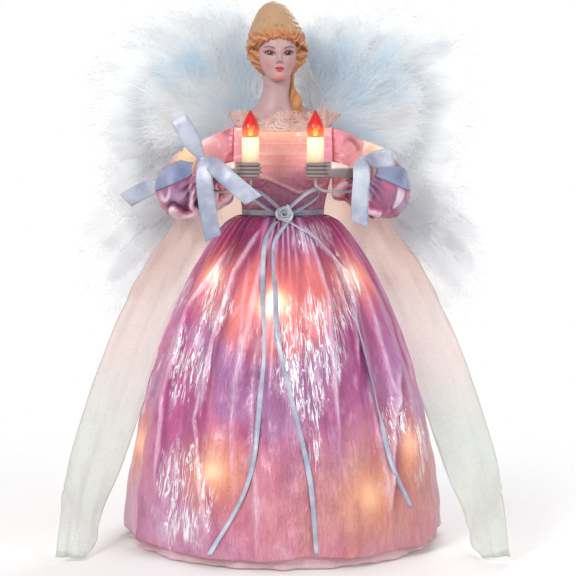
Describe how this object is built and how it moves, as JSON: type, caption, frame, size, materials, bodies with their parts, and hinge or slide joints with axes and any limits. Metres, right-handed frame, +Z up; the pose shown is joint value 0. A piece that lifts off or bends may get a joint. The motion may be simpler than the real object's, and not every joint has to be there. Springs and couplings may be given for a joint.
{
  "type": "angel tree topper",
  "caption": "Lighted angel tree topper: porcelain head and hands, gathered gown over a hollow cone, feather wings, posable arms holding electric candles.",
  "frame": {"origin": "on the ground, at the centre of the cone's base", "axes": "+Z up along the cone, the angel faces -Y, +X to the viewer's right"},
  "size_m": [0.256, 0.1902, 0.318],
  "materials": {
    "cone_plastic": "plain moulded white plastic",
    "gown_satin": "crinkled iridescent pink satin with foil streaks",
    "petticoat_organza": "sheer pale pink organza",
    "stole_organza": "sheer white organza",
    "blue_ribbon": "pale blue satin ribbon",
    "lace": "open cotton lace",
    "porcelain": "matt bisque porcelain, painted",
    "feather": "white feathers and marabou down",
    "wing_card": "white backing card",
    "steel_wire": "drawn steel wire",
    "candle_plastic": "cream moulded plastic, lit from inside",
    "flame_glass": "red tinted flame lamp",
    "lamp_glass": "clear miniature lamp",
    "lamp_socket": "white lamp socket",
    "lamp_cord": "white insulated wire",
    "candle_cord": "grey insulated wire"
  },
  "bodies": {
    "root": {"cone_form": "cone_plastic", "torso_form": "cone_plastic", "bodice": "gown_satin", "lace_collar": "lace", "porcelain_head": "porcelain", "skirt": "gown_satin", "underskirt": "petticoat_organza", "waist_ribbon": "blue_ribbon", "waist_bow": "blue_ribbon", "waist_rose": "blue_ribbon", "stole": "stole_organza", "wing_bracket": "cone_plastic", "lamp_wire": "lamp_cord", "lamp_socket_1": "lamp_socket", "lamp_socket_2": "lamp_socket", "lamp_socket_3": "lamp_socket", "lamp_socket_4": "lamp_socket", "lamp_socket_5": "lamp_socket", "lamp_socket_6": "lamp_socket", "lamp_socket_7": "lamp_socket", "lamp_socket_8": "lamp_socket", "lamp_1": "lamp_glass", "lamp_2": "lamp_glass", "lamp_3": "lamp_glass", "lamp_4": "lamp_glass", "lamp_5": "lamp_glass", "lamp_6": "lamp_glass", "lamp_7": "lamp_glass", "lamp_8": "lamp_glass"},
    "left_arm": {"left_arm_wire": "steel_wire", "left_sleeve": "gown_satin", "left_cuff_ribbon": "blue_ribbon", "left_cuff_bow": "blue_ribbon", "left_forearm": "porcelain", "left_candle_tube": "candle_plastic", "left_candle_socket": "lamp_socket", "left_candle_lead": "candle_cord"},
    "left_flame": {"left_flame_bulb": "flame_glass"},
    "left_wing": {"left_wing_wire": "steel_wire", "left_wing_card": "wing_card", "left_wing_primaries": "feather", "left_wing_coverts": "feather", "left_wing_down": "feather"},
    "right_arm": {"right_arm_wire": "steel_wire", "right_sleeve": "gown_satin", "right_cuff_ribbon": "blue_ribbon", "right_cuff_bow": "blue_ribbon", "right_forearm": "porcelain", "right_candle_tube": "candle_plastic", "right_candle_socket": "lamp_socket", "right_candle_lead": "candle_cord"},
    "right_flame": {"right_flame_bulb": "flame_glass"},
    "right_wing": {"right_wing_wire": "steel_wire", "right_wing_card": "wing_card", "right_wing_primaries": "feather", "right_wing_coverts": "feather", "right_wing_down": "feather"}
  },
  "joints": [
    {"name": "left_shoulder", "type": "hinge", "parent": "root", "child": "left_arm", "pos_m": [-0.029, 0.001, 0.229], "axis": [-1, 0, 0], "range_deg": [-6, 18]},
    {"name": "left_flame_pull", "type": "slide", "parent": "left_arm", "child": "left_flame", "axis": [0, 0, 1], "range_m": [0, 0.014]},
    {"name": "left_wing_pivot", "type": "hinge", "parent": "root", "child": "left_wing", "pos_m": [-0.008, 0.0282, 0.23], "axis": [0, 0, -1], "range_deg": [-5, 28]},
    {"name": "right_shoulder", "type": "hinge", "parent": "root", "child": "right_arm", "pos_m": [0.029, 0.001, 0.229], "axis": [-1, 0, 0], "range_deg": [-6, 18]},
    {"name": "right_flame_pull", "type": "slide", "parent": "right_arm", "child": "right_flame", "axis": [0, 0, 1], "range_m": [0, 0.014]},
    {"name": "right_wing_pivot", "type": "hinge", "parent": "root", "child": "right_wing", "pos_m": [0.008, 0.0282, 0.23], "axis": [0, 0, 1], "range_deg": [-5, 28]}
  ]
}
